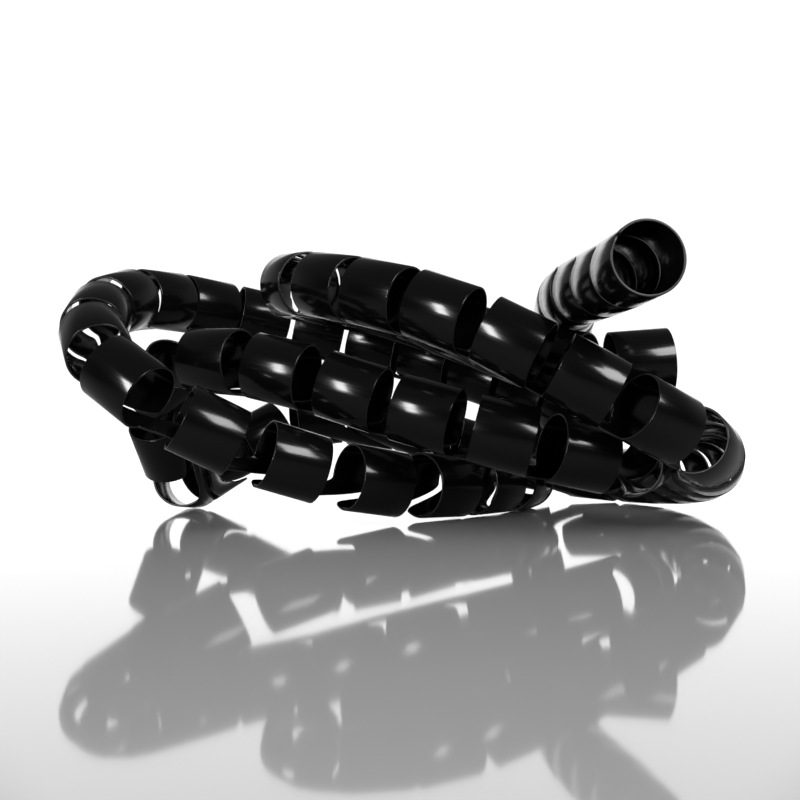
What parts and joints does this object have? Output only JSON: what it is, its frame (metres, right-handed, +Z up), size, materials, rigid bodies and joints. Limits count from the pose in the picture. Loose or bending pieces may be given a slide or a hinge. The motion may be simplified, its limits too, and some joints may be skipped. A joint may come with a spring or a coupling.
{
  "type": "spiral cable wrap",
  "caption": "Length of glossy black plastic spiral cable wrap lying in a loose, crossed coil with both open ends on the right.",
  "frame": {"origin": "middle of the bounding box, on the floor that the coil lies on", "axes": "+X to the right along the coil's longest side, +Y away from the side shown in the picture, +Z up"},
  "size_m": [0.2654, 0.226, 0.105],
  "materials": {
    "black_plastic": "gloss"
  },
  "bodies": {
    "root": {"spiral_wrap": "black_plastic"}
  },
  "joints": []
}
